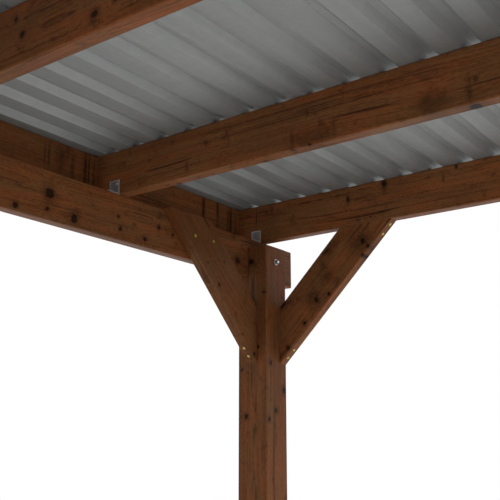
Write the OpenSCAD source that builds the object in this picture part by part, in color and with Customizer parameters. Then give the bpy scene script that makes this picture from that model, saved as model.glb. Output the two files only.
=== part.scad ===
// Open timber carport: six posts with housed heads, two side beams, seven rafters, knee braces,
// side fascias and a roof of three lapped ribbed metal sheets.
// Millimetres, +Z up, origin on the ground at the middle of the plan, +Y to the back.

/* [Plan] */
// width over the outer faces of the posts
frame_w = 2920; // [2700:10:3100]
// spacing of the rafters, centre to centre
rafter_pitch = 720; // [620:10:800]

/* [Heights] */
// height of the beams' undersides, which is also the height of the seats cut in the posts
seat_z = 2100; // [1950:10:2400]
// height of the tongue that stays beside the beam above the seat
tongue_h = 104; // [80:1:125]

/* [Timbers] */
// side of the square post
post_w = 120; // [100:2:140]
// thickness of the beam, which sets the depth of the housing in the post head
beam_t = 40; // [30:1:50]
// height of the beam
beam_h = 140; // [130:2:180]
// length of beam past the end faces of the posts
beam_tail = 156; // [80:2:170]
// thickness of a rafter
rafter_t = 40; // [30:1:50]
// height of a rafter
rafter_h = 140; // [110:2:180]
// length of rafter past the outer faces of the posts
rafter_tail = 60; // [30:2:100]
// thickness of the fascia board
fascia_t = 20; // [16:1:28]
// height of the fascia board
fascia_h = 140; // [110:2:180]
// length of fascia past the outer faces of the end rafters
fascia_tail = 120; // [40:2:130]
// radius of the eased long edges of all timbers
edge_r = 4; // [2:0.5:6]

/* [Knee braces] */
// thickness of a brace
brace_t = 40; // [30:1:50]
// width of a brace, across its length
brace_w = 140; // [100:2:160]
// reach of a brace from the face of the post
brace_reach = 450; // [380:5:560]
// drop of a brace's lower tip below the tops of the beams
brace_drop = 450; // [380:5:560]

/* [Roof sheets] */
// height of a rib
rib_h = 18; // [12:1:30]
// width of the flat on top of a rib
rib_crest = 20; // [14:1:26]
// width in plan of a rib's sloping side
rib_web = 17.5; // [10:0.5:20]
// thickness of the sheet, measured upright
sheet_t = 0.8; // [0.6:0.1:1.5]
// length of sheet past the outer faces of the end rafters
sheet_tail = 180; // [160:5:240]
// width of sheet past the outer faces of the fascias
sheet_side = 48; // [30:1:60]

/* [Angle brackets] */
// length of each leg of a bracket
bracket_leg = 45; // [30:1:60]
// width of a bracket, across the beam
bracket_w = 40; // [30:1:40]
// thickness of a bracket
bracket_t = 2.5; // [2:0.5:4]

/* [Hidden] */
// steps of a full turn, for the eased edges
$fn = 32;
// overrun of cutting bodies past the faces they cut
cut_over = 5;
bay_count = 6;
rib_count = 31;
frame_l = bay_count * rafter_pitch + rafter_t;
half_w = frame_w / 2;
half_l = frame_l / 2;
beam_top = seat_z + beam_h;
roof_z = beam_top + rafter_h;
fascia_x = half_w + rafter_tail;
roof_w = 2 * (fascia_x + fascia_t + sheet_side);
rib_foot = rib_crest / 2 + rib_web;
rib_pitch = (roof_w - 2 * rib_foot) / (rib_count - 1);
// ribs at which the middle sheet laps over the outer ones
lap_left = (rib_count - 1) / 3;
lap_right = rib_count - 1 - lap_left;
sheet_l = frame_l + 2 * sheet_tail;
brace_angle = atan2(brace_drop, brace_reach);
brace_run = norm([brace_reach, brace_drop]);

// stained timber and galvanised steel
timber = [0.40, 0.25, 0.15];
zinc = [0.66, 0.68, 0.69];

SIDES = ["left", "right"];
ROWS = ["front", "middle", "back"];
// the place of each post row along Y
row_y = [post_w / 2 - half_l, 0, half_l - post_w / 2];
// the place of the rafter over each post row
row_rafter_y = [rafter_t / 2 - half_l, 0, half_l - rafter_t / 2];
// knee braces under a beam: name, row of the post, direction along Y
SIDE_BRACES = [
    ["front", 0, 1],
    ["middle_front", 1, -1],
    ["middle_back", 1, 1],
    ["back", 2, -1]
];

// Section of a timber with eased edges, centred.
module eased(w, h) {
    square([w - 2 * edge_r, h], center = true);
    square([w, h - 2 * edge_r], center = true);
    for (x = [edge_r - w / 2, w / 2 - edge_r])
        for (y = [edge_r - h / 2, h / 2 - edge_r])
            translate([x, y])
                circle(r = edge_r);
}

// Timber along X, centred.
module timber_x(l, t, h) {
    rotate([90, 0, 90])
        linear_extrude(height = l, center = true)
            eased(t, h);
}

// Timber along Y, centred.
module timber_y(l, t, h) {
    rotate([90, 0, 0])
        linear_extrude(height = l, center = true)
            eased(t, h);
}

// Draws its children as made for the left side, or mirrored to the right.
module on_side(side) {
    if (side == "right")
        mirror([1, 0, 0])
            children();
    else
        children();
}

// Post with its head housed for the beam: the outer part is cut away down to the seat.
module post(row) {
    color(timber)
        translate([post_w / 2 - half_w, row_y[row], 0])
            difference() {
                linear_extrude(height = seat_z + tongue_h)
                    eased(post_w, post_w);
                translate([-post_w / 2 - cut_over, -post_w / 2 - cut_over, seat_z])
                    cube([beam_t + cut_over, post_w + 2 * cut_over, tongue_h + cut_over]);
            }
}

// Beam on the seats of one side, flush with the outer faces of the posts.
module beam() {
    color(timber)
        translate([beam_t / 2 - half_w, 0, seat_z + beam_h / 2])
            timber_y(frame_l + 2 * beam_tail, beam_t, beam_h);
}

// Rafter across both beams; the end ones are flush with the end faces of the posts.
module rafter(i) {
    color(timber)
        translate([0, (i - bay_count / 2) * rafter_pitch, beam_top + rafter_h / 2])
            timber_x(frame_w + 2 * rafter_tail, rafter_t, rafter_h);
}

// Knee brace in the XZ plane: cut upright against a post at X = 0 and level at Z = 0.
module brace() {
    intersection() {
        translate([0, 0, -brace_drop])
            rotate([0, -brace_angle, 0])
                translate([brace_run / 2, 0, brace_w / 2])
                    timber_x(brace_run + 2 * brace_w, brace_t, brace_w);
        translate([0, -brace_t / 2 - cut_over, -brace_drop])
            cube([brace_reach, brace_t + 2 * cut_over, brace_drop]);
    }
}

// Brace lapped on the inner face of the beam, from the post of a row along Y.
module side_brace(row, way) {
    color(timber)
        translate([beam_t + brace_t / 2 - half_w, row_y[row] + way * post_w / 2, beam_top])
            rotate([0, 0, way * 90])
                brace();
}

// Brace from the inner face of a post up to the underside of the rafter over it.
module cross_brace(row) {
    color(timber)
        translate([post_w - half_w, row_rafter_y[row], beam_top])
            brace();
}

// Board that closes the rafter ends of one side.
module fascia() {
    color(timber)
        translate([-fascia_x - fascia_t / 2, 0, roof_z - fascia_h / 2])
            timber_y(frame_l + 2 * fascia_tail, fascia_t, fascia_h);
}

// Angle bracket in the corner between a beam's top and a rafter's face that looks along way.
module bracket(i, way) {
    face_y = (i - bay_count / 2) * rafter_pitch + way * rafter_t / 2;
    translate([beam_t / 2 - half_w, face_y, beam_top])
        mirror([0, way < 0 ? 1 : 0, 0])
            rotate([90, 0, 90])
                linear_extrude(height = bracket_w, center = true)
                    polygon([
                        [0, 0], [bracket_leg, 0], [bracket_leg, bracket_t],
                        [bracket_t, bracket_t], [bracket_t, bracket_leg], [0, bracket_leg]
                    ]);
}

// The brackets of one side, each on the rafter face that looks to the middle of the plan.
module rafter_brackets() {
    color(zinc) {
        for (i = [0 : bay_count / 2])
            bracket(i, 1);
        for (i = [bay_count / 2 : bay_count])
            bracket(i, -1);
    }
}

function rib_x(i) = (i - (rib_count - 1) / 2) * rib_pitch;

// The underside line of one rib, from foot to foot.
function rib_line(i) = [
    [rib_x(i) - rib_foot, 0],
    [rib_x(i) - rib_crest / 2, rib_h],
    [rib_x(i) + rib_crest / 2, rib_h],
    [rib_x(i) + rib_foot, 0]
];

// The crest of one rib, raised by the thickness of the sheet it laps over.
function lapped_crest(i) = [
    [rib_x(i) - rib_crest / 2, rib_h + sheet_t],
    [rib_x(i) + rib_crest / 2, rib_h + sheet_t]
];

// Sheet that lies on the rafters, from its underside line.
module sheet(line) {
    last = len(line) - 1;
    color(zinc)
        translate([0, 0, roof_z])
            rotate([90, 0, 0])
                linear_extrude(height = sheet_l, center = true)
                    polygon(concat(line, [for (k = [last : -1 : 0]) line[k] + [0, sheet_t]]));
}

// Outer sheet: it ends at the far edge of the crest that the middle sheet laps over.
module outer_sheet() {
    ribs = [for (i = [0 : lap_left - 1]) each rib_line(i)];
    lap = rib_line(lap_left);
    sheet(concat(ribs, [lap[0], lap[1], lap[2]]));
}

// Middle sheet: its two edge crests lie on the crests of the outer sheets.
module middle_sheet() {
    ribs = [for (i = [lap_left + 1 : lap_right - 1]) each rib_line(i)];
    first_foot = rib_line(lap_left)[3];
    last_foot = rib_line(lap_right)[0];
    sheet(concat(lapped_crest(lap_left), [first_foot], ribs, [last_foot], lapped_crest(lap_right)));
}

for (s = SIDES)
    for (r = [0 : len(ROWS) - 1])
        on_side(s) post(r);

for (s = SIDES)
    on_side(s) beam();

for (i = [0 : bay_count])
    rafter(i);

for (s = SIDES)
    for (b = SIDE_BRACES)
        on_side(s) side_brace(b[1], b[2]);

for (s = SIDES)
    for (r = [0 : len(ROWS) - 1])
        on_side(s) cross_brace(r);

for (s = SIDES)
    on_side(s) fascia();

for (s = SIDES)
    on_side(s) rafter_brackets();

outer_sheet();  // roof_sheet_left
middle_sheet();  // roof_sheet_middle
on_side("right") outer_sheet();  // roof_sheet_right
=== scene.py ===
"""Looks of an open timber carport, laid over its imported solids.

Every timber gets stained softwood with rings about its own pith, fibres and knots; the roof gets galvanised
sheet; bolts, screws and seals are added where the frame is held together. Metres, in the frame of the solids.
"""

import logging
import math
import random
from collections.abc import Iterable, Sequence
from dataclasses import dataclass, field
from enum import Enum
from typing import ClassVar

import bmesh
import bpy
from mathutils import Euler, Matrix, Vector


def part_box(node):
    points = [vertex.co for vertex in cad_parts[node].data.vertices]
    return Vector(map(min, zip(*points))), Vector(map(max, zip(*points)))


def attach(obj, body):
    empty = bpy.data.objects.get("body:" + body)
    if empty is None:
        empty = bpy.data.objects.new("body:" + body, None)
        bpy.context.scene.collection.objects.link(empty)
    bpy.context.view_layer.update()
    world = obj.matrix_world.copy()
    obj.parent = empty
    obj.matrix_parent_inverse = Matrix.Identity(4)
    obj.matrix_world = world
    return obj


LOG = logging.getLogger("carport")
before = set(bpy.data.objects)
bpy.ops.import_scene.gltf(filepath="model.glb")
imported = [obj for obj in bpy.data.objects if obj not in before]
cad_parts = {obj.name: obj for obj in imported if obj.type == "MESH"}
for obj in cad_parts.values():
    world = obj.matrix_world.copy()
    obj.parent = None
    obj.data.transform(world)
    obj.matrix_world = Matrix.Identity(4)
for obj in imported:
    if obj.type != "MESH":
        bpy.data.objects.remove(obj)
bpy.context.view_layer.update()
ROOT = "root"
MILLIMETRE = 0.001
MERGE_DISTANCE = 1e-6
SHARP_ANGLE = math.radians(32)

SIDES: dict[str, int] = {"left": -1, "right": 1}
ROWS: tuple[str, ...] = ("front", "middle", "back")
# the post row and the way along Y of each knee brace under a beam
BRACE_ENDS: dict[str, tuple[str, int]] = {
    "front": ("front", 1), "middle_front": ("middle", -1), "middle_back": ("middle", 1), "back": ("back", -1)}

Colour = tuple[float, float, float]
Point = tuple[float, float, float]
Pair = tuple[float, float]
Profile = tuple[Pair, ...]
Mark = tuple[float, ...]
Socket = bpy.types.NodeSocket
Value = Socket | float | Sequence[float]


def paint(red: int, green: int, blue: int) -> Colour:
    """Turn a colour of 0 to 255 a channel into the linear one that shaders take.

    Args:
        red: Red channel.
        green: Green channel.
        blue: Blue channel.

    Returns:
        The linear colour.
    """
    def linear(c: float) -> float:
        """Linear value of one channel from 0 to 1."""
        return c / 12.92 if c <= 0.04045 else ((c + 0.055) / 1.055) ** 2.4
    return (linear(red / 255), linear(green / 255), linear(blue / 255))


def middle(node: str) -> Vector:
    """Middle of a solid's box."""
    low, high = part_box(node)
    return (low + high) / 2


@dataclass(frozen=True)
class Pattern:
    """A noise, and what is made of it.

    Attributes:
        stretch: Repeats a metre along each axis.
        detail: Octaves.
        rough: Share of the finer octaves.
        window: Noise values between which the pattern rises.
        levels: What it is at the ends of the window.
        eased: Whether it rises smoothly.
    """

    stretch: Point
    detail: float = 2.0
    rough: float = 0.5
    window: Pair = (0.0, 1.0)
    levels: Pair = (0.0, 1.0)
    eased: bool = True


class Bench:
    """A node tree while it is being wired."""

    def __init__(self, owner: bpy.types.Material | bpy.types.World) -> None:
        """Start with an empty tree.

        Args:
            owner: The material or world whose tree it is.
        """
        owner.use_nodes = True
        self.owner = owner
        self.tree = owner.node_tree
        self.tree.nodes.clear()

    def node(self, kind: str, inputs: dict[str | int, Value], **options: object) -> bpy.types.Node:
        """Add a node, set its options, and fill or link its inputs.

        Args:
            kind: Node type without its ShaderNode prefix.
            inputs: Values or sockets by input name or number.
            options: Options of the node.

        Returns:
            The node.
        """
        made = self.tree.nodes.new("ShaderNode" + kind)
        for option, choice in options.items():
            setattr(made, option, choice)
        for key, value in inputs.items():
            if isinstance(value, Socket):
                self.tree.links.new(value, made.inputs[key])
            else:
                made.inputs[key].default_value = value
        return made

    def place(self) -> Socket:
        """Coordinates in the frame of the solids."""
        return self.node("TexCoord", {}).outputs["Object"]

    def maths(self, operation: str, *numbers: Value) -> Socket:
        """One number from up to three, by a Math node."""
        return self.node("Math", dict(enumerate(numbers)), operation=operation).outputs[0]

    def times(self, first: Value, second: Value) -> Socket:
        """Product of two numbers."""
        return self.maths("MULTIPLY", first, second)

    def plus(self, first: Value, second: Value) -> Socket:
        """Sum of two numbers."""
        return self.maths("ADD", first, second)

    def larger(self, first: Value, second: Value) -> Socket:
        """The larger of two numbers."""
        return self.maths("MAXIMUM", first, second)

    def vector(self, operation: str, first: Value, second: Value) -> Socket:
        """One vector from two, by a Vector Math node."""
        return self.node("VectorMath", {0: first, 1: second}, operation=operation).outputs[0]

    def length(self, vector: Value) -> Socket:
        """Length of a vector."""
        return self.node("VectorMath", {0: vector}, operation="LENGTH").outputs["Value"]

    def noise_node(self, place: Value, pattern: Pattern) -> bpy.types.Node:
        """The noise of a pattern.

        Args:
            place: Coordinates.
            pattern: The pattern.

        Returns:
            The noise node.
        """
        spot = self.vector("MULTIPLY", place, pattern.stretch)
        settings = {"Vector": spot, "Scale": 1.0, "Detail": pattern.detail, "Roughness": pattern.rough}
        return self.node("TexNoise", settings)

    def noise(self, place: Value, pattern: Pattern) -> Socket:
        """The plain values of a pattern's noise."""
        return self.noise_node(place, pattern).outputs[0]

    def shown(self, place: Value, pattern: Pattern) -> Socket:
        """A pattern, seen through its window."""
        return self.span(self.noise(place, pattern), pattern.window, pattern.levels, pattern.eased)

    def drift(self, place: Value, pattern: Pattern, most: Point) -> Socket:
        """A vector that strays from nought with a pattern.

        Args:
            place: Coordinates.
            pattern: The pattern.
            most: How far it goes along each axis.

        Returns:
            The vector.
        """
        stray = self.vector("SUBTRACT", self.noise_node(place, pattern).outputs["Color"], (0.5, 0.5, 0.5))
        return self.vector("MULTIPLY", stray, most)

    def span(self, value: Value, window: Pair, levels: Pair = (0.0, 1.0), eased: bool = True) -> Socket:
        """Map a window of values to a pair of levels, held at its ends.

        Args:
            value: Number to map.
            window: Start and end of the window.
            levels: Results at its start and end.
            eased: Ease in and out.

        Returns:
            The mapped number.
        """
        settings = dict(enumerate((value, *window, *levels)))
        kind = "SMOOTHSTEP" if eased else "LINEAR"
        return self.node("MapRange", settings, interpolation_type=kind).outputs[0]

    def mix(self, share: Value, first: Value, second: Value) -> Socket:
        """Mix two colours.

        Args:
            share: Share of the second colour.
            first: First colour.
            second: Second colour.

        Returns:
            The mixed colour.
        """
        def rgba(colour: Value) -> Value:
            """A plain colour with its alpha, or the socket as it is."""
            return colour if isinstance(colour, Socket) else (*colour, 1.0)
        return self.node("Mix", {0: share, 6: rgba(first), 7: rgba(second)}, data_type="RGBA").outputs[2]

    def ramp(self, value: Value, stops: Profile) -> Socket:
        """A number read off a ramp of grey stops.

        Args:
            value: Place on the ramp.
            stops: Pairs of place and number.

        Returns:
            The number.
        """
        node = self.node("ValToRGB", {0: value})
        while len(node.color_ramp.elements) < len(stops):
            node.color_ramp.elements.new(1.0)
        for element, (place, level) in zip(node.color_ramp.elements, stops):
            element.position = place
            element.color = (level, level, level, 1.0)
        return node.outputs[0]

    def bump(self, height: Value, strength: float, depth: float) -> Socket:
        """A normal from a height of 0 to 1 and its real depth."""
        return self.node("Bump", {"Height": height, "Strength": strength, "Distance": depth}).outputs[0]

    def surface(self, inputs: dict[str | int, Value]) -> bpy.types.Material:
        """Close the tree with a Principled surface.

        Args:
            inputs: Inputs of the Principled node.

        Returns:
            The finished material.
        """
        shader = self.node("BsdfPrincipled", inputs)
        self.node("OutputMaterial", {"Surface": shader.outputs[0]})
        return self.owner


class GrainRun(Enum):
    """How the grain runs, as turns in degrees.

    They bring a timber's length onto the pith's axis, and its thickness onto the depth.
    """

    UPRIGHT = (0, 0, 0)
    ACROSS = (0, -90, 0)
    LENGTHWISE = (90, 0, 90)
    RISING_FORWARD = (-45, 0, 90)
    RISING_BACK = (45, 0, 90)
    RISING_RIGHT = (0, -45, 0)
    RISING_LEFT = (0, 45, 0)


class Face(Enum):
    """Faces of a timber: the corner that marks are measured from, and the axes along and up the face.

    The corner is 0 for the low end of the timber's box and 1 for its high end, along each axis.
    """

    FRONT = ((0, 0, 0), (1, 0, 0), (0, 0, 1))
    RIGHT = ((1, 1, 0), (0, -1, 0), (0, 0, 1))
    UNDER = ((0, 0, 0), (1, 0, 0), (0, 1, 0))


@dataclass(frozen=True)
class Knot:
    """A branch cut by the saw: its place seen from the pith, and its half sizes there."""

    centre: Vector
    reach: Vector


@dataclass(frozen=True)
class Billet:
    """How one timber was sawn from its trunk.

    Attributes:
        turn: The turn that brings the pith onto Z.
        shift: The shift that follows it.
        seat: The timber's middle, seen from the pith.
        stout: Whether it is a post.
        through: Half depth of a knot that goes through a board.
    """

    turn: Euler
    shift: Vector
    seat: Vector
    stout: bool
    through: float = 0.3
    post_depth: ClassVar[Pair] = (0.085, 0.105)
    board_depth: ClassVar[Pair] = (0.052, 0.085)
    most_lean: ClassVar[float] = 0.4
    most_aside: ClassVar[float] = 0.02
    heights: ClassVar[Pair] = (2.0, 30.0)

    @classmethod
    def sawn(cls, node: str, run: GrainRun, draw: random.Random, pith: Point | None = None) -> "Billet":
        """Choose the pith for a timber.

        Args:
            node: Name of the timber's solid.
            run: How the grain runs.
            draw: Source of the chosen numbers.
            pith: A point that the pith goes through, or none to have it chosen.

        Returns:
            The billet.
        """
        stout = run is GrainRun.UPRIGHT
        depth = draw.uniform(*(cls.post_depth if stout else cls.board_depth))
        degrees = [d + draw.uniform(-cls.most_lean, cls.most_lean) for d in run.value]
        degrees[2] += draw.choice((0, 90, 180, 270) if stout else (0, 180))
        turn = Euler([math.radians(d) for d in degrees])
        seat = Vector((draw.uniform(-cls.most_aside, cls.most_aside), depth, draw.uniform(*cls.heights)))
        if pith:
            seat.xy = (turn.to_matrix() @ (middle(node) - Vector(pith))).xy
        return cls(turn, seat - turn.to_matrix() @ middle(node), seat, stout)

    def local(self, point: Vector) -> Vector:
        """A point of the frame, seen from the pith."""
        return self.turn.to_matrix() @ point + self.shift

    def knot(self, centre: Vector, radius: float, tall: float = 1.0, deep: bool = True) -> Knot:
        """A knot that goes through a board, or sits in the face of a post.

        Args:
            centre: Its middle, seen from the pith.
            radius: Radius along the grain.
            tall: Its half size across the grain, in radii.
            deep: Whether it goes right through a board.

        Returns:
            The knot.
        """
        across = radius * tall
        return Knot(centre, Vector((across, self.through if deep and not self.stout else across, radius)))


@dataclass(frozen=True)
class FaceMarks:
    """Marks on a face of a timber.

    Each mark is given in millimetres: its place along the face and up it, its radius along the grain and,
    where it isn't round, its height across the grain in radii.
    """

    face: Face
    knots: tuple[Mark, ...] = ()
    smears: tuple[Mark, ...] = ()

    def cut(self, node: str, billet: Billet, marks: Iterable[Mark]) -> list[Knot]:
        """Set marks of this face into a timber.

        Args:
            node: Name of the timber's solid.
            billet: How the timber was sawn.
            marks: Knots or smears of the face.

        Returns:
            The marks, seen from the pith.
        """
        ends, along_axis, up_axis = self.face.value
        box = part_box(node)
        corner = Vector([box[end][axis] for axis, end in enumerate(ends)])
        found = []
        for along, up, radius, *tall in marks:
            step = (Vector(along_axis) * along + Vector(up_axis) * up) * MILLIMETRE
            centre = billet.local(corner + step)
            found.append(billet.knot(centre, radius * MILLIMETRE, *tall, deep=self.face is not Face.UNDER))
        return found


@dataclass(frozen=True)
class StainedTimber:
    """Walnut brown stain on softwood, satin, with growth rings, fibres, checks and knots.

    Patterns are stretched across, across and along the grain. Reaches round a knot are in its radii.
    """

    light: Colour = paint(117, 77, 46)
    warm: Colour = paint(129, 75, 42)
    dark: Colour = paint(67, 42, 23)
    halo: Colour = paint(58, 34, 18)
    core: Colour = paint(18, 12, 9)
    smear: Colour = paint(44, 27, 15)
    roughness: Pair = (0.33, 0.50)
    rough_fibre: Pair = (0.2, 0.8)
    shine: float = 0.06
    relief: float = 0.0007
    bump_strength: float = 0.35
    ring_height: float = -0.35
    fibre_height: float = 0.5
    check_height: float = -0.6
    core_height: float = -0.3

    ring: float = 0.0054
    ring_darkness: float = 0.52
    ring_bend: float = 0.026
    bend_reach: Pair = (0.5, 7.0)
    year: Profile = ((0.0, 0.05), (0.62, 0.1), (0.86, 0.85), (0.95, 1.0), (1.0, 0.05))
    year_range: Pair = (0.25, 1.25)
    wander: Pattern = Pattern((2.2, 2.2, 1.5))
    wander_most: Point = (0.038, 0.038, 0.0)
    waver: Pattern = Pattern((30.0, 30.0, 3.0))
    waver_most: float = 0.004
    vigour: Pattern = Pattern((9.0, 9.0, 1.1), window=(0.4, 0.62), levels=(0.45, 1.2))

    fibre: Pattern = Pattern((280.0, 280.0, 5.0), 3.0, 0.65, (0.3, 0.7), (-0.2, 0.26), False)
    streak: Pattern = Pattern((60.0, 60.0, 1.8), 3.0, 0.6, (0.25, 0.75), (-0.06, 0.3))
    scratch: Pattern = Pattern((190.0, 190.0, 2.6), 2.0, 0.5, (0.58, 0.72), (0.0, 0.4))
    fleck: Pattern = Pattern((300.0, 300.0, 75.0), 2.0, 0.6, (0.3, 0.7), (-0.25, 0.25), False)
    flush: Pattern = Pattern((26.0, 26.0, 4.0), 3.0, 0.6, (0.38, 0.64))
    stain: Pattern = Pattern((9.0, 9.0, 3.0), 4.0, 0.6, (0.4, 0.7), (0.0, 0.3))
    smudge: Pattern = Pattern((24.0, 24.0, 21.0), 5.0, 0.68, (0.56, 0.74), (0.0, 0.75))
    check: Pattern = Pattern((85.0, 85.0, 0.9), 1.0, 0.5, (0.69, 0.75))
    check_darkness: float = 0.7

    wisp: Pattern = Pattern((30.0, 30.0, 50.0), 4.0, 0.6, (0.3, 0.7), (0.38, 0.76))
    smear_reach: Pair = (0.1, 1.7)
    soot: Pattern = Pattern((110.0, 110.0, 190.0), 4.0, 0.7, (0.38, 0.6), (0.4, 1.15))
    halo_reach: Pair = (0.7, 3.6)
    halo_darkness: float = 0.66
    ragged: Pattern = Pattern((75.0, 75.0, 55.0))
    ragged_most: Point = (1.1, 1.1, 1.1)
    far_off: float = 9.0
    core_reach: Pair = (0.78, 1.12)
    core_rings: float = 13.0
    core_ring_depth: float = 0.1
    core_fibre: Pair = (0.84, 1.0)
    pin_spacing: float = 17.0
    pin_sizes: tuple[Pair, Pair] = ((0.4, 0.95), (0.0, 0.07))
    pin_edge: Pair = (-0.012, 0.018)

    def material(self, name: str, billet: Billet, knots: Sequence[Knot], smears: Sequence[Knot],
                 tone: float) -> bpy.types.Material:
        """The finish of one timber.

        Args:
            name: Name of the timber.
            billet: How it was sawn.
            knots: Its knots.
            smears: Soft dark spots where the stain ran.
            tone: Brightness of its stain.

        Returns:
            The material.
        """
        bench = Bench(bpy.data.materials.new("stain_" + name))
        turn = {"Vector": bench.place(), "Location": billet.shift, "Rotation": billet.turn}
        spot = bench.node("Mapping", turn).outputs[0]
        grown = bench.vector("ADD", spot, bench.drift(spot, self.wander, self.wander_most))
        near = self.knot_distance(bench, spot, knots)
        pull = bench.span(near, self.halo_reach, (1.0, 0.0))
        line, rings = self.rings(bench, spot, grown, bench.span(near, self.bend_reach, (1.0, 0.0)))
        fibre = bench.noise(grown, self.fibre)
        check = bench.shown(grown, self.check)
        colour = self.board(bench, spot, grown, rings, fibre, tone)
        colour = bench.mix(bench.times(check, self.check_darkness), colour, self.core)
        if smears:
            blot = bench.span(self.knot_distance(bench, spot, smears), self.smear_reach, (1.0, 0.0))
            colour = bench.mix(bench.times(blot, bench.shown(spot, self.wisp)), colour, self.smear)
        halo = bench.times(bench.times(pull, pull), self.halo_darkness)
        colour = bench.mix(bench.times(halo, bench.shown(spot, self.soot)), colour, self.halo)
        core = bench.larger(self.branches(bench, near), self.pins(bench, spot))
        depth = bench.span(fibre, self.fibre.window, self.core_fibre)
        colour = bench.mix(bench.times(core, depth), colour, self.core)
        height = bench.times(fibre, self.fibre_height)
        for form, rise in ((line, self.ring_height), (check, self.check_height), (core, self.core_height)):
            height = bench.maths("MULTIPLY_ADD", form, rise, height)
        return bench.surface({
            "Base Color": colour,
            "Roughness": bench.span(fibre, self.rough_fibre, self.roughness, False),
            "Specular IOR Level": self.shine,
            "Normal": bench.bump(height, self.bump_strength, self.relief)})

    def board(self, bench: Bench, spot: Value, grown: Value, rings: Value, fibre: Value,
              tone: float) -> Socket:
        """Colour of the stained wood between its knots.

        Args:
            bench: Tree under work.
            spot: Place seen from the pith.
            grown: The same place, strayed with the trunk's growth.
            rings: Darkness of the growth rings.
            fibre: Noise of the fibres.
            tone: Brightness of the stain.

        Returns:
            The colour.
        """
        light, warm, dark = (tuple(c * tone for c in shade) for shade in (self.light, self.warm, self.dark))
        fibres = bench.span(fibre, self.fibre.window, self.fibre.levels, self.fibre.eased)
        figure = bench.maths("MULTIPLY_ADD", rings, self.ring_darkness, fibres)
        for pattern in (self.streak, self.scratch, self.fleck):
            figure = bench.plus(figure, bench.shown(grown, pattern))
        colour = bench.mix(figure, bench.mix(bench.shown(grown, self.flush), light, warm), dark)
        colour = bench.mix(bench.shown(spot, self.stain), colour, dark)
        return bench.mix(bench.shown(spot, self.smudge), colour, self.halo)

    def branches(self, bench: Bench, near: Value) -> Socket:
        """One inside a knot, a little less between its own rings.

        Args:
            bench: Tree under work.
            near: Distance to the nearest knot.

        Returns:
            The share of the knot.
        """
        wave = bench.maths("SINE", bench.times(near, self.core_rings))
        rings = bench.maths("MULTIPLY_ADD", wave, self.core_ring_depth, 1.0 - self.core_ring_depth)
        return bench.times(bench.span(near, self.core_reach, (1.0, 0.0)), rings)

    def pins(self, bench: Bench, spot: Value) -> Socket:
        """Pin knots: dark specks strewn thinly over the timber.

        Args:
            bench: Tree under work.
            spot: Place seen from the pith.

        Returns:
            One inside a speck.
        """
        cell = bench.node("TexVoronoi", {"Vector": spot, "Scale": self.pin_spacing}).outputs
        chance = bench.node("SeparateColor", {0: cell["Color"]}).outputs[0]
        size = bench.span(chance, *self.pin_sizes, False)
        return bench.span(bench.maths("SUBTRACT", size, cell["Distance"]), self.pin_edge)

    def rings(self, bench: Bench, spot: Value, grown: Value, pull: Value) -> tuple[Socket, Socket]:
        """Growth rings about the pith, bent out round the knots.

        Args:
            bench: Tree under work.
            spot: Place seen from the pith.
            grown: The same place, strayed with the trunk's growth.
            pull: Nearness of a knot.

        Returns:
            The plain late wood line, and the rings' darkness.
        """
        out = bench.length(bench.vector("MULTIPLY", grown, (1.0, 1.0, 0.0)))
        out = bench.maths("MULTIPLY_ADD", bench.noise(grown, self.waver), self.waver_most, out)
        out = bench.maths("MULTIPLY_ADD", bench.times(pull, pull), self.ring_bend, out)
        count = bench.maths("DIVIDE", out, self.ring)
        line = bench.ramp(bench.maths("FRACT", count), self.year)
        number = bench.maths("FLOOR", count)
        year = bench.node("TexWhiteNoise", {"W": number}, noise_dimensions="1D").outputs["Value"]
        rings = bench.times(line, bench.span(year, (0.0, 1.0), self.year_range, False))
        return line, bench.times(rings, bench.shown(spot, self.vigour))

    def knot_distance(self, bench: Bench, spot: Value, knots: Sequence[Knot]) -> Value:
        """Distance to the nearest knot, in radii of that knot.

        Args:
            bench: Tree under work.
            spot: Place seen from the pith.
            knots: The timber's knots.

        Returns:
            The distance.
        """
        ragged = bench.drift(spot, self.ragged, self.ragged_most)
        near: Value = self.far_off
        for knot in knots:
            gap = bench.vector("DIVIDE", bench.vector("SUBTRACT", spot, knot.centre), knot.reach)
            near = bench.maths("MINIMUM", near, bench.length(bench.vector("ADD", gap, ragged)))
        return near


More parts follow.
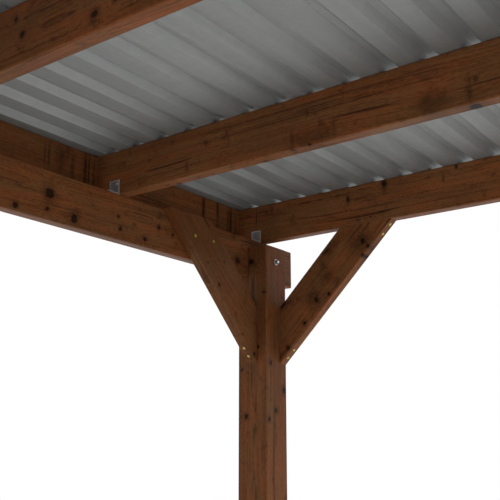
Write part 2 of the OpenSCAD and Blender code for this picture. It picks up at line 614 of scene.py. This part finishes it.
@dataclass(frozen=True)
class GalvanisedSheet:
    """Dull zinc on rolled sheet: faint spangle, rolling streaks along the ribs and a little weathering."""

    zinc: Colour = paint(155, 157, 156)
    shade: Colour = paint(135, 138, 137)
    metallic: float = 0.65
    roughness: float = 0.5
    gloss: float = 0.1
    relief: float = 0.0004
    bump_strength: float = 0.08
    rolled_height: float = 0.8
    spangles: float = 55.0
    spangle_shade: float = 0.12
    spangle_height: float = 0.2
    spangle_roughness: float = 0.04
    rolled: Pattern = Pattern((34.0, 0.7, 34.0), 3.0, 0.5, (0.3, 0.7), (0.0, 0.4), False)
    cloud: Pattern = Pattern((3.0, 1.4, 3.0), 4.0, 0.6, (0.3, 0.75), (0.0, 0.3))

    def material(self, name: str) -> bpy.types.Material:
        """The finish of the roof.

        Args:
            name: Name of the material.

        Returns:
            The material.
        """
        bench = Bench(bpy.data.materials.new(name))
        spot = bench.place()
        spangle = bench.node("TexVoronoi", {"Vector": spot, "Scale": self.spangles}).outputs["Color"]
        spangle = bench.node("SeparateColor", {0: spangle}).outputs[0]
        rolled = bench.noise(spot, self.rolled)
        share = bench.span(rolled, self.rolled.window, self.rolled.levels, self.rolled.eased)
        share = bench.maths("MULTIPLY_ADD", spangle, self.spangle_shade, share)
        share = bench.plus(share, bench.shown(spot, self.cloud))
        height = bench.times(spangle, self.spangle_height)
        height = bench.maths("MULTIPLY_ADD", rolled, self.rolled_height, height)
        return bench.surface({
            "Base Color": bench.mix(share, self.zinc, self.shade),
            "Metallic": self.metallic,
            "Roughness": bench.maths("MULTIPLY_ADD", spangle, self.spangle_roughness, self.roughness),
            "Specular IOR Level": self.gloss,
            "Normal": bench.bump(height, self.bump_strength, self.relief)})


@dataclass(frozen=True)
class PlatedSteel:
    """Plated steel of bolts and screws, with fine blotches."""

    plate: Colour
    dull: Colour
    roughness: float = 0.32
    metallic: float = 0.9
    blotch: Pattern = Pattern((70.0, 70.0, 70.0), 3.0, 0.6, (0.35, 0.75), (0.0, 0.6))
    rough_blotch: Pair = (0.3, 0.7)
    rougher: float = 0.1

    def material(self, name: str) -> bpy.types.Material:
        """The finish of a fitting.

        Args:
            name: Name of the material.

        Returns:
            The material.
        """
        bench = Bench(bpy.data.materials.new(name))
        spot = bench.place()
        blotch = bench.noise(spot, self.blotch)
        colour = bench.mix(bench.span(blotch, self.blotch.window, self.blotch.levels), self.plate, self.dull)
        rough = bench.span(blotch, self.rough_blotch, (self.roughness, self.roughness + self.rougher))
        return bench.surface({
            "Base Color": self.edge_highlights(bench, spot, colour),
            "Metallic": self.metallic,
            "Roughness": rough})

    def edge_highlights(self, bench: Bench, spot: Value, colour: Socket) -> Socket:
        """The colour as it is: bolts and screws get no painted edge highlights."""
        return colour


@dataclass(frozen=True)
class AngleSteel(PlatedSteel):
    """Plated steel of the angle brackets, with painted highlights along its rims and in its bend."""

    # Near white of the highlights painted on the rims and in the bend.
    painted_highlight: Colour = paint(236, 238, 240)
    rim: float = 0.0025
    bend: float = 0.0055
    fade: float = 0.0015

    def edge_highlights(self, bench: Bench, spot: Value, colour: Socket) -> Socket:
        """Paint highlights on the rims and in the bend of the brackets on both beams.

        Args:
            bench: Tree under work.
            spot: Place in the frame.
            colour: Colour of the plate.

        Returns:
            The colour with its bright rims.
        """
        low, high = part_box("rafter_brackets_right")
        axes = bench.node("SeparateXYZ", {0: spot}).outputs
        out = bench.maths("SUBTRACT", bench.maths("ABSOLUTE", axes[0]), (low.x + high.x) / 2)
        side = (high.x - low.x) / 2 - self.rim
        sides = bench.span(bench.maths("ABSOLUTE", out), (side - self.fade, side))
        top = bench.span(axes[2], (high.z - self.rim - self.fade, high.z - self.rim))
        bend = bench.span(axes[2], (low.z + self.bend, low.z + self.bend + self.fade), (1.0, 0.0))
        # Painted highlight: the rims and the bend are mixed towards near white, as if they caught the light.
        return bench.mix(bench.larger(bench.larger(sides, top), bend), colour, self.painted_highlight)


@dataclass(frozen=True)
class SealRubber:
    """Black rubber of the seals under the roof screws."""

    black: Colour = paint(38, 38, 40)
    dusty: Colour = paint(66, 66, 66)
    dust: Pattern = Pattern((240.0, 240.0, 240.0), window=(0.3, 0.7), levels=(0.6, 0.85))

    def material(self, name: str) -> bpy.types.Material:
        """The finish of the seals.

        Args:
            name: Name of the material.

        Returns:
            The material.
        """
        bench = Bench(bpy.data.materials.new(name))
        dust = bench.noise(bench.place(), self.dust)
        colour = bench.mix(dust, self.black, self.dusty)
        rough = bench.span(dust, self.dust.window, self.dust.levels)
        return bench.surface({"Base Color": colour, "Roughness": rough})


ZINC = PlatedSteel(paint(186, 188, 190), paint(150, 153, 156))
ANGLE = AngleSteel(paint(168, 171, 174), paint(146, 149, 153), 0.34, 0.8)
# A brightened copy of the plated zinc, a painted highlight on washers, thread ends and domes; a darkened copy, a
# painted shade on the nuts.
LIT_ZINC = PlatedSteel(paint(232, 232, 229), paint(200, 200, 197), 0.3)
SHADED_ZINC = PlatedSteel(paint(118, 121, 119), paint(92, 95, 94), 0.3)
YELLOW = PlatedSteel(paint(212, 201, 104), paint(182, 168, 80), 0.3, 0.7)


def dress(node: str, material: bpy.types.Material) -> None:
    """Give a solid its finish.

    Args:
        node: Name of the solid.
        material: Its finish.
    """
    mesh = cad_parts[node].data
    mesh.materials.clear()
    mesh.materials.append(material)
    LOG.info("dressed %s", node)


def kept(bm: bmesh.types.BMesh, name: str = "shape") -> bpy.types.Mesh:
    """Store a bmesh as a mesh and free it.

    Args:
        bm: The bmesh.
        name: Name of the mesh.

    Returns:
        The mesh.
    """
    mesh = bpy.data.meshes.new(name)
    bm.to_mesh(mesh)
    bm.free()
    return mesh


def turned(profile: Sequence[Pair], steps: int) -> bpy.types.Mesh:
    """A turned shape about Z.

    Args:
        profile: Pairs of radius and height, from the foot to the top.
        steps: Steps of the full turn.

    Returns:
        The mesh.
    """
    bm = bmesh.new()
    points = [bm.verts.new((radius, 0.0, height)) for radius, height in profile]
    edges = [bm.edges.new(pair) for pair in zip(points, points[1:])]
    bmesh.ops.spin(bm, geom=points + edges, cent=(0, 0, 0), axis=(0, 0, 1), angle=math.tau, steps=steps,
                   use_merge=True)
    bmesh.ops.remove_doubles(bm, verts=bm.verts, dist=MERGE_DISTANCE)
    bmesh.ops.recalc_face_normals(bm, faces=bm.faces)
    return kept(bm)


def domed(radius: float, height: float, rim: float, steps: int = 6) -> Profile:
    """Profile of a round head: a short upright rim and a quarter of an ellipse over it.

    Args:
        radius: Radius of the head.
        height: Its full height.
        rim: Height of the upright rim.
        steps: Steps of the round stretch.

    Returns:
        Pairs of radius and height.
    """
    turns = [math.pi / 2 * step / steps for step in range(steps)]
    arc = [(radius * math.cos(turn), rim + (height - rim) * math.sin(turn)) for turn in turns]
    return ((0.0, 0.0), (radius, 0.0), *arc, (0.0, height))


def hexagon(across: float, foot: float, height: float, chamfer: float) -> bpy.types.Mesh:
    """A hexagon with eased top edges, such as a nut.

    Args:
        across: Width over flats.
        foot: Height of its underside.
        height: Its own height.
        chamfer: Width of the easing.

    Returns:
        The mesh.
    """
    bm = bmesh.new()
    radius = across / math.sqrt(3)
    bmesh.ops.create_cone(bm, cap_ends=True, segments=6, radius1=radius, radius2=radius, depth=height,
                          matrix=Matrix.Translation((0, 0, foot + height / 2)))
    rim = [e for e in bm.edges if all(v.co.z > foot + height / 2 for v in e.verts)]
    bmesh.ops.bevel(bm, geom=rim, offset=chamfer, affect="EDGES", segments=2, profile=0.5, material=-1)
    return kept(bm)


@dataclass(frozen=True)
class StarHead:
    """A countersunk screw head with a six-lobed recess, sunk in the timber up to its rim."""

    radius: float
    recess: float
    proud: float
    lobes: int = 6
    lobe_share: float = 0.2
    recess_depth: float = 0.0022
    recess_taper: float = 0.92
    rim_depth: float = 0.0008
    cone_depth: float = 0.0026
    cone_taper: float = 0.55
    steps: int = 24

    def mesh(self) -> bpy.types.Mesh:
        """Model the head.

        Returns:
            The mesh, with its head along Z.
        """
        bm = bmesh.new()
        rim = bmesh.ops.create_circle(bm, segments=self.steps, radius=self.radius)["verts"]
        star = bmesh.ops.create_circle(bm, segments=self.steps, radius=self.recess)["verts"]
        for v in star:
            v.co *= 1.0 + self.lobe_share * math.cos(self.lobes * math.atan2(v.co.y, v.co.x))
        bmesh.ops.translate(bm, verts=bm.verts, vec=(0, 0, self.proud))
        rim_edges = [e for e in bm.edges if set(e.verts) <= set(rim)]
        star_edges = [e for e in bm.edges if set(e.verts) <= set(star)]
        bmesh.ops.bridge_loops(bm, edges=rim_edges + star_edges)
        floor = self.sunk(bm, star_edges, self.recess_depth, self.recess_taper)
        bmesh.ops.contextual_create(bm, geom=floor)
        cone = self.sunk(bm, rim_edges, self.rim_depth, 1.0)
        end = self.sunk(bm, cone, self.cone_depth, self.cone_taper)
        bmesh.ops.contextual_create(bm, geom=end)
        bmesh.ops.recalc_face_normals(bm, faces=bm.faces)
        return kept(bm)

    def sunk(self, bm: bmesh.types.BMesh, edges: Sequence[bmesh.types.BMEdge], depth: float,
             grow: float) -> list[bmesh.types.BMEdge]:
        """Draw a wall down from a loop of edges.

        Args:
            bm: The bmesh.
            edges: The loop.
            depth: How far down.
            grow: Scale of the wall's foot.

        Returns:
            The new edges of the wall.
        """
        wall = bmesh.ops.extrude_edge_only(bm, edges=edges)["geom"]
        foot = [g for g in wall if isinstance(g, bmesh.types.BMVert)]
        bmesh.ops.translate(bm, verts=foot, vec=(0, 0, -depth))
        bmesh.ops.scale(bm, verts=foot, vec=(grow, grow, 1.0))
        return [g for g in wall if isinstance(g, bmesh.types.BMEdge)]


def facing(point: Sequence[float], normal: Sequence[float], twist: float = 0.0) -> Matrix:
    """The place of a fixing whose head looks along a normal.

    Args:
        point: Point on the surface.
        normal: Way the head looks.
        twist: Turn about the normal, in radians.

    Returns:
        The place.
    """
    turn = Vector(normal).to_track_quat("Z", "Y").to_matrix().to_4x4()
    return Matrix.Translation(point) @ turn @ Matrix.Rotation(twist, 4, "Z")


def gather(name: str, shapes: Sequence[bpy.types.Mesh], places: Sequence[Matrix], finish: bpy.types.Material) -> None:
    """Make one piece of a fixing that is set at many places.

    Args:
        name: Name of the piece.
        shapes: Meshes that make up one fixing.
        places: Where it is set.
        finish: Its material.
    """
    bm = bmesh.new()
    for place in places:
        for shape in shapes:
            start = len(bm.verts)
            bm.from_mesh(shape)
            bm.verts.ensure_lookup_table()
            bmesh.ops.transform(bm, matrix=place, verts=bm.verts[start:])
    mesh = kept(bm, name)
    mesh.materials.append(finish)
    mesh.shade_smooth()
    mesh.set_sharp_from_angle(angle=SHARP_ANGLE)
    piece = bpy.data.objects.new(name, mesh)
    bpy.context.scene.collection.objects.link(piece)
    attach(piece, ROOT)
    LOG.info("%s: %d fixings", name, len(places))


@dataclass(frozen=True)
class Frame:
    """Sizes of the timber frame that its fixings need."""

    half_width: float
    post: float
    beam: float
    brace: float
    rafter: float
    seat: float
    beam_top: float
    roof: float
    reach: float
    rafters: int

    @classmethod
    def measured(cls) -> "Frame":
        """Read the sizes off the boxes of the solids.

        Returns:
            The sizes.
        """
        post_low, post_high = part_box("post_right_back")
        beam_low, beam_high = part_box("beam_right")
        brace_low, brace_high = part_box("cross_brace_right_back")
        rafter_low, rafter_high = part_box("rafter_1")
        return cls(
            half_width=post_high.x,
            post=post_high.x - post_low.x,
            beam=beam_high.x - beam_low.x,
            brace=brace_high.y - brace_low.y,
            rafter=rafter_high.y - rafter_low.y,
            seat=beam_low.z,
            beam_top=beam_high.z,
            roof=rafter_high.z,
            reach=brace_high.x - brace_low.x,
            rafters=sum(node.removeprefix("rafter_").isdigit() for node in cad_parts))

    def rafter_y(self) -> list[float]:
        """Middles of all rafters along Y."""
        return [middle(f"rafter_{number + 1}").y for number in range(self.rafters)]


def seen_marks() -> dict[str, tuple[FaceMarks, ...]]:
    """Knots and smears of the timbers at the back left corner, as they look from inside.

    Returns:
        The marked faces by timber.
    """
    return {
        "beam_left": (
            FaceMarks(Face.RIGHT, knots=(
                (336, 45, 12.5, 0.9), (676, 65, 6), (741, 75, 6.5), (801, 25, 7), (906, 35, 6.5),
                (916, 70, 5), (1086, 25, 13.5), (1181, 30, 7), (1176, 75, 14.5, 1.1), (1286, 15, 8))),),
        "post_left_back": (
            FaceMarks(Face.RIGHT, knots=((95, 1790, 8), (15, 1700, 10.5), (65, 1630, 9), (105, 1600, 7.5))),
            FaceMarks(Face.FRONT, knots=(
                (55, 2150, 9), (110, 2035, 6), (85, 1845, 5), (35, 1610, 8), (15, 1770, 4)))),
        "cross_brace_left_back": (
            FaceMarks(
                Face.FRONT,
                knots=(
                    (340, 390, 9), (360, 370, 6), (205, 225, 6), (155, 210, 8), (105, 135, 6.5),
                    (15, 205, 12, 0.6), (35, 55, 7), (340, 340, 6), (200, 375, 9, 0.4)),
                smears=(
                    (215, 385, 60, 0.3), (200, 285, 30, 0.8), (330, 395, 48, 0.9), (150, 215, 40, 0.9))),),
        "side_brace_left_back": (
            FaceMarks(Face.RIGHT, knots=((210, 240, 5.5), (185, 320, 3), (80, 90, 3), (15, 30, 6))),),
        "rafter_7": (
            FaceMarks(
                Face.FRONT,
                knots=(
                    (610, 125, 9), (470, 95, 4, 2.0), (80, 95, 2, 10), (105, 115, 20, 0.07),
                    (295, 115, 28, 0.06), (355, 115, 8, 0.2), (435, 115, 22, 0.06), (865, 130, 4, 1.5)),
                smears=((150, 115, 8, 2.4), (470, 95, 9, 2.2), (820, 100, 5, 3.0), (610, 110, 9, 2.6))),),
        "rafter_6": (
            FaceMarks(Face.FRONT, smears=(
                (365, 30, 5, 3.4), (720, 30, 7, 3.6), (785, 22, 70, 0.4), (845, 30, 6, 4.5),
                (1105, 28, 36, 0.8), (1195, 30, 6, 3.6), (740, 113, 300, 0.009), (820, 87, 360, 0.008),
                (800, 94, 260, 0.008))),
            FaceMarks(Face.UNDER, knots=(
                (310, 34, 6), (617, 32, 6), (720, 8, 6), (773, 3, 5), (1200, 26, 16)))),
        "fascia_left": (
            FaceMarks(
                Face.RIGHT,
                knots=(
                    (930, 85, 2, 24), (915, 80, 2, 24), (290, 120, 3, 12), (370, 105, 4, 12),
                    (212, 85, 3, 14)),
                smears=(
                    (1000, 125, 10, 4.5), (980, 85, 9, 5), (1025, 100, 22, 2), (930, 80, 9, 8),
                    (895, 75, 6, 9), (1085, 95, 5, 7), (1070, 90, 5, 7), (370, 105, 12, 5),
                    (290, 120, 9, 7), (228, 80, 8, 8), (212, 85, 8, 8), (184, 70, 6, 8))),),
    }


@dataclass
class Timbers:
    """All timbers: each is sawn, knotted and stained by itself."""

    frame: Frame
    finish: StainedTimber = field(default_factory=StainedTimber)
    spiked_finish: StainedTimber = field(default_factory=lambda: StainedTimber(core=paint(38, 23, 13)))
    spiked: tuple[str, ...] = ("fascia_left", "fascia_right")
    spike: float = 4.0
    seen: dict[str, tuple[FaceMarks, ...]] = field(default_factory=seen_marks)
    clear: float = 0.4
    piths: dict[str, Point] = field(default_factory=lambda: {
        "rafter_6": (0.0, 1.44, 2.19), "side_brace_left_back": (-1.40, 2.06, 2.24)})
    tones: dict[str, float] = field(default_factory=lambda: {
        "beam_left": 0.94, "side_brace_left_back": 0.81, "cross_brace_left_back": 1.06, "rafter_7": 1.04})
    tone_range: Pair = (0.94, 1.05)
    post_tone: float = 0.79
    first_seed: int = 700
    knot_sizes: Pair = (0.0042, 0.0095)
    whorl_sizes: tuple[int, ...] = (1, 1, 2, 3)
    whorl_gaps: Pair = (0.17, 0.46)
    first_gap: Pair = (0.05, 0.3)
    whorl_spread: float = 0.05
    knot_aside: float = 0.052
    post_face: float = 0.06
    shortest: float = 0.6

    def runs(self) -> dict[str, GrainRun]:
        """How the grain runs in each timber.

        Returns:
            The grain run by node name, in the order of the names.
        """
        found = {f"rafter_{number + 1}": GrainRun.ACROSS for number in range(self.frame.rafters)}
        for side, way in SIDES.items():
            inward = GrainRun.RISING_LEFT if way > 0 else GrainRun.RISING_RIGHT
            for row in ROWS:
                found[f"post_{side}_{row}"] = GrainRun.UPRIGHT
                found[f"cross_brace_{side}_{row}"] = inward
            for board in ("beam", "fascia"):
                found[f"{board}_{side}"] = GrainRun.LENGTHWISE
            for end, (_, run) in BRACE_ENDS.items():
                rising = GrainRun.RISING_BACK if run > 0 else GrainRun.RISING_FORWARD
                found[f"side_brace_{side}_{end}"] = rising
        return dict(sorted(found.items()))

    def whorls(self, node: str, billet: Billet, draw: random.Random) -> list[Knot]:
        """Knots in whorls along a timber.

        Args:
            node: Name of the timber.
            billet: How it was sawn.
            draw: Source of the chosen numbers.

        Returns:
            The knots.
        """
        low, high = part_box(node)
        half = max(*(high - low), self.shortest) / 2
        tall = self.spike if node in self.spiked else 1.0
        knots = []
        along = draw.uniform(*self.first_gap) - half
        while along < half:
            for _ in range(draw.choice(self.whorl_sizes)):
                place = [draw.uniform(-self.knot_aside, self.knot_aside), 0.0]
                if billet.stout:
                    place[1] = draw.choice((-self.post_face, self.post_face))
                    draw.shuffle(place)
                height = along + draw.uniform(-self.whorl_spread, self.whorl_spread)
                centre = billet.seat + Vector((*place, height))
                knots.append(billet.knot(centre, draw.uniform(*self.knot_sizes), tall))
            along += draw.uniform(*self.whorl_gaps)
        return knots

    def dress(self) -> None:
        """Stain every timber; the marks seen on a timber stand in for the knots near them."""
        for number, (node, run) in enumerate(self.runs().items()):
            draw = random.Random(self.first_seed + number)
            billet = Billet.sawn(node, run, draw, self.piths.get(node))
            knots = self.whorls(node, billet, draw)
            tone = draw.uniform(*self.tone_range) * self.tones.get(node, 1.0)
            faces = self.seen.get(node, ())
            seen = [k for marks in faces for k in marks.cut(node, billet, marks.knots)]
            smears = [k for marks in faces for k in marks.cut(node, billet, marks.smears)]
            if faces:
                places = [k.centre.z for k in seen + smears]
                first, last = min(places) - self.clear, max(places) + self.clear
                knots = [k for k in knots if not first < k.centre.z < last] + seen
            finish = self.spiked_finish if node in self.spiked else self.finish
            if billet.stout:
                tone *= self.post_tone
            dress(node, finish.material(node, billet, knots, smears, tone))


@dataclass
class RoofSheets:
    """The ribbed roof, with hexagon screws and seals in its pans."""

    frame: Frame
    ribs: int = 31
    rib_foot: float = 0.0275
    sheet: float = 0.0008
    every: int = 3
    seal: Profile = ((0.0, 0.0), (0.0075, 0.0), (0.008, 0.0008), (0.0074, 0.0022), (0.0, 0.0022))
    flange: Profile = ((0.0, 0.0022), (0.0068, 0.0022), (0.0069, 0.0030), (0.0045, 0.0042), (0.0, 0.0042))
    steps: int = 16
    head_across: float = 0.008
    head_foot: float = 0.0040
    head_height: float = 0.0046
    head_chamfer: float = 0.0005
    twists: Pair = (40.0, 7.0)

    def pan_x(self) -> list[float]:
        """Middles of the pans between the ribs.

        Returns:
            Their places along X.
        """
        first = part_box("roof_sheet_left")[0].x + self.rib_foot
        pitch = -2 * first / (self.ribs - 1)
        return [first + (i + 0.5) * pitch for i in range(self.ribs - 1)]

    def dress(self) -> None:
        """Finish the sheets and set their screws."""
        zinc = GalvanisedSheet().material("galvanised_sheet")
        for sheet in ("left", "middle", "right"):
            dress(f"roof_sheet_{sheet}", zinc)
        top = self.frame.roof + self.sheet
        pans = self.pan_x()[1::self.every]
        by_x, by_y = self.twists
        places = [facing((x, y, top), (0, 0, 1), x * by_x + y * by_y)
                  for y in self.frame.rafter_y() for x in pans]
        seal = turned(self.seal, self.steps)
        flange = turned(self.flange, self.steps)
        head = hexagon(self.head_across, self.head_foot, self.head_height, self.head_chamfer)
        gather("roof_screw_seals", [seal], places, SealRubber().material("seal_rubber"))
        gather("roof_screws", [flange, head], places, ZINC.material("zinc_roof_screws"))


@dataclass
class HeadBolts:
    """The bolt through each post's tongue and beam: nut and washer inside, round head outside."""

    frame: Frame
    above_seat: float = 0.05
    washer: Profile = ((0.0, 0.0), (0.0105, 0.0), (0.0108, 0.0006), (0.0105, 0.0020), (0.0, 0.0020))
    nut_foot: float = 0.0020
    nut_across: float = 0.0145
    nut_top: float = 0.0080
    nut_chamfer: float = 0.0012
    nut_twist: float = 0.35
    dome_radius: float = 0.0118
    dome_height: float = 0.0058
    dome_rim: float = 0.0008
    crest: float = 0.0043
    root: float = 0.0038
    turns: int = 2
    thread_pitch: float = 0.0015
    steps: int = 28

    def stub(self) -> Profile:
        """Profile of the threaded end that stands past the nut.

        Returns:
            Pairs of radius and height.
        """
        profile = [(0.0, self.nut_top)]
        for turn in range(self.turns):
            foot = self.nut_top + turn * self.thread_pitch
            profile += [(self.crest, foot), (self.root, foot + self.thread_pitch / 2)]
        end = self.nut_top + self.turns * self.thread_pitch
        tip = end + self.thread_pitch
        return (*profile, (self.crest, end), (self.root, tip), (0.0, tip))

    def build(self) -> None:
        """Set the bolts of both sides."""
        # Washers, thread ends and domes get the brightened zinc, a painted highlight; the nuts get the darkened zinc,
        # a painted shade.
        painted_highlight = LIT_ZINC.material("lit_zinc_bolts")
        dull = SHADED_ZINC.material("shaded_zinc_nuts")
        washer = turned(self.washer, self.steps)
        nut = hexagon(self.nut_across, self.nut_foot, self.nut_top - self.nut_foot, self.nut_chamfer)
        stub = turned(self.stub(), self.steps)
        dome = turned(domed(self.dome_radius, self.dome_height, self.dome_rim), self.steps)
        height = self.frame.seat + self.above_seat
        rows = [middle(f"post_left_{row}").y for row in ROWS]
        for side, way in SIDES.items():
            inner = way * (self.frame.half_width - self.frame.post)
            outer = way * self.frame.half_width
            nuts = [facing((inner, y, height), (-way, 0, 0), self.nut_twist + y) for y in rows]
            heads = [facing((outer, y, height), (way, 0, 0)) for y in rows]
            gather(f"head_bolt_washers_{side}", [washer, stub], nuts, painted_highlight)
            gather(f"head_bolt_nuts_{side}", [nut], nuts, dull)
            gather(f"head_bolt_domes_{side}", [dome], heads, painted_highlight)


@dataclass
class BraceScrews:
    """Yellow plated screws at both ends of every knee brace."""

    frame: Frame
    head: StarHead = StarHead(radius=0.0047, recess=0.0019, proud=0.0005)
    face_drop: float = 0.07
    face_reach: Pair = (0.242, 0.334)
    tip_reach: Pair = (0.022, 0.047)
    top_drop: Pair = (0.014, 0.042)
    face_twist: float = 9.0
    tip_twist: float = 31.0
    cross_twist: float = 17.0

    def under(self, reach: float) -> float:
        """Height of a brace's underside at a reach from the post."""
        return self.frame.beam_top - self.frame.reach + reach

    def side_places(self, way: int) -> list[Matrix]:
        """Screws of the braces lapped on a beam.

        Args:
            way: Side of the carport, -1 or 1.

        Returns:
            Their places.
        """
        lap = self.frame.half_width - self.frame.beam
        face = way * (lap - self.frame.brace)
        core = way * (lap - self.frame.brace / 2)
        height = self.frame.beam_top - self.face_drop
        places = []
        for row, run in BRACE_ENDS.values():
            post = middle(f"post_left_{row}").y + run * self.frame.post / 2
            places += [facing((face, post + run * r, height), (-way, 0, 0), r * self.face_twist)
                       for r in self.face_reach]
            places += [facing((core, post + run * r, self.under(r)), (0, run, -1), r * self.tip_twist)
                       for r in self.tip_reach]
        return places

    def cross_places(self, way: int) -> list[Matrix]:
        """Screws of the braces under the rafters.

        Args:
            way: Side of the carport, -1 or 1.

        Returns:
            Their places.
        """
        reaches = (*self.tip_reach, *(self.frame.reach - drop for drop in self.top_drop))
        post = way * (self.frame.half_width - self.frame.post)
        places = []
        for row in ROWS:
            core = middle(f"cross_brace_left_{row}").y
            places += [facing((post - way * r, core, self.under(r)), (-way, 0, -1), r * self.cross_twist)
                       for r in reaches]
        return places

    def build(self) -> None:
        """Set the screws of both sides."""
        finish = YELLOW.material("yellow_plated_screws")
        head = self.head.mesh()
        for side, way in SIDES.items():
            gather(f"brace_screws_{side}", [head], self.side_places(way) + self.cross_places(way), finish)


@dataclass
class Brackets:
    """The steel angles on the beams, and the screws in their legs."""

    frame: Frame
    thick: float = 0.0025
    spots: tuple[Pair, ...] = ((-0.010, 0.016), (0.010, 0.034))
    head: Profile = ((0.0, 0.0), (0.0040, 0.0), (0.0041, 0.0008), (0.0030, 0.0022), (0.0, 0.0027))
    steps: int = 14
    upright_twist: float = 50.0
    level_twist: float = 80.0

    def places(self, way: int) -> list[Matrix]:
        """Screws in both legs of each bracket of one side.

        Args:
            way: Side of the carport, -1 or 1.

        Returns:
            Their places.
        """
        found = []
        core = way * (self.frame.half_width - self.frame.beam / 2)
        top = self.frame.beam_top
        last = self.frame.rafters - 1
        for i, y in enumerate(self.frame.rafter_y()):
            for look in [w for w in (1, -1) if w * i <= w * last / 2]:
                face = y + look * self.frame.rafter / 2
                for across, up in self.spots:
                    upright = (core + across, face + look * self.thick, top + up)
                    level = (core - across, face + look * up, top + self.thick)
                    found.append(facing(upright, (0, look, 0), up * self.upright_twist))
                    found.append(facing(level, (0, 0, 1), up * self.level_twist))
        return found

    def build(self) -> None:
        """Finish the brackets and set their screws."""
        plate = ANGLE.material("zinc_brackets")
        finish = ZINC.material("zinc_bracket_screws")
        head = turned(self.head, self.steps)
        for side, way in SIDES.items():
            dress(f"rafter_brackets_{side}", plate)
            gather(f"bracket_screws_{side}", [head], self.places(way), finish)


@dataclass
class FasciaScrews:
    """Two screws through the fascia into the end of each rafter."""

    frame: Frame
    head: StarHead = StarHead(radius=0.0044, recess=0.0020, proud=0.0004)
    below_top: Pair = (0.036, 0.104)
    twists: Pair = (3.0, 40.0)

    def build(self) -> None:
        """Set the screws of both sides."""
        finish = YELLOW.material("yellow_fascia_screws")
        head = self.head.mesh()
        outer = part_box("fascia_right")[1].x
        by_y, by_drop = self.twists
        for side, way in SIDES.items():
            places = [facing((way * outer, y, self.frame.roof - drop), (way, 0, 0), y * by_y + drop * by_drop)
                      for y in self.frame.rafter_y() for drop in self.below_top]
            gather(f"fascia_screws_{side}", [head], places, finish)


@dataclass(frozen=True)
class Lamp:
    """A soft square lamp: its name, its place, its side in metres and its power in watts."""

    name: str
    place: Point
    size: float
    power: float

    def hang(self, aim: Point) -> None:
        """Hang the lamp so that it looks at a point.

        Args:
            aim: The point.
        """
        data = bpy.data.lights.new(self.name, "AREA")
        data.size, data.energy = self.size, self.power
        lamp = bpy.data.objects.new(self.name, data)
        lamp.location = self.place
        lamp.rotation_euler = (Vector(aim) - Vector(self.place)).to_track_quat("-Z", "Y").to_euler()
        bpy.context.scene.collection.objects.link(lamp)


@dataclass
class Studio:
    """Pale floor, even white light and the camera under the roof."""

    eye: Point = (0.2962, -0.2311, 1.4849)
    heading: float = 36.673
    rise: float = 13.933
    lens: float = 59.32
    sensor: float = 36.0
    aim: Point = (0.0, 0.0, 1.2)
    lamps: tuple[Lamp, ...] = (
        Lamp("key_lamp", (6.5, -8.0, 7.5), 5.0, 900.0),
        Lamp("fill_lamp", (-8.5, 4.0, 5.0), 6.0, 200.0),
        Lamp("side_lamp", (9.5, 0.5, 3.0), 2.2, 400.0))
    world_light: float = 0.87
    pale: Colour = paint(232, 232, 231)
    paler: Colour = paint(226, 226, 225)
    cloud: Pattern = Pattern((0.6, 0.6, 0.6), 3.0, 0.5, (0.3, 0.7))
    floor_reach: float = 60.0
    floor_steps: int = 8
    fade: Pair = (3.2, 8.0)

    def build(self) -> None:
        """Set floor, light and camera."""
        self.lay_floor()
        self.light_world()
        for lamp in self.lamps:
            lamp.hang(self.aim)
        self.set_camera()

    def lay_floor(self) -> None:
        """A wide pale floor that fades to white far from the object."""
        bm = bmesh.new()
        steps = self.floor_steps
        bmesh.ops.create_grid(bm, x_segments=steps, y_segments=steps, size=self.floor_reach)
        floor = bpy.data.objects.new("floor", kept(bm, "floor"))
        bpy.context.scene.collection.objects.link(floor)
        bench = Bench(bpy.data.materials.new("pale_floor"))
        spot = bench.place()
        colour = bench.mix(bench.shown(spot, self.cloud), self.pale, self.paler)
        matt = bench.node("BsdfDiffuse", {"Color": colour}).outputs[0]
        white = bench.node("Emission", {"Color": (1.0, 1.0, 1.0, 1.0), "Strength": 1.0}).outputs[0]
        share = bench.times(bench.span(bench.length(spot), self.fade), self.looks_at(bench))
        mixed = bench.node("MixShader", {0: share, 1: matt, 2: white}).outputs[0]
        bench.node("OutputMaterial", {"Surface": mixed})
        floor.data.materials.append(bench.owner)

    def looks_at(self, bench: Bench) -> Socket:
        """One for rays of sight, mirror and glass, nought for rays of light.

        Args:
            bench: Tree under work.

        Returns:
            The share.
        """
        path = bench.node("LightPath", {}).outputs
        sight = bench.larger(path["Is Camera Ray"], path["Is Glossy Ray"])
        return bench.larger(sight, path["Is Transmission Ray"])

    def light_world(self) -> None:
        """White all round: full white to the eye, a plain level to the object."""
        world = bpy.data.worlds.new("studio")
        bench = Bench(world)
        strength = bench.span(self.looks_at(bench), (0.0, 1.0), (self.world_light, 1.0), False)
        sky = bench.node("Background", {"Color": (1.0, 1.0, 1.0, 1.0), "Strength": strength})
        bench.node("OutputWorld", {"Surface": sky.outputs[0]})
        bpy.context.scene.world = world

    def set_camera(self) -> None:
        """The camera of the main picture: under the roof, looking up at the back left corner."""
        data = bpy.data.cameras.new("camera")
        data.lens, data.sensor_width = self.lens, self.sensor
        camera = bpy.data.objects.new("camera", data)
        camera.location = self.eye
        camera.rotation_euler = (math.radians(90 + self.rise), 0.0, math.radians(self.heading))
        bpy.context.scene.collection.objects.link(camera)
        bpy.context.scene.camera = camera


def main() -> None:
    """Build the studio, dress the solids and set the fixings."""
    logging.basicConfig(level=logging.INFO, format="%(name)s: %(message)s")
    bpy.context.scene.view_settings.view_transform = "Standard"
    frame = Frame.measured()
    Studio().build()
    Timbers(frame).dress()
    RoofSheets(frame).dress()
    HeadBolts(frame).build()
    BraceScrews(frame).build()
    Brackets(frame).build()
    FasciaScrews(frame).build()


if __name__ == "__main__":
    main()
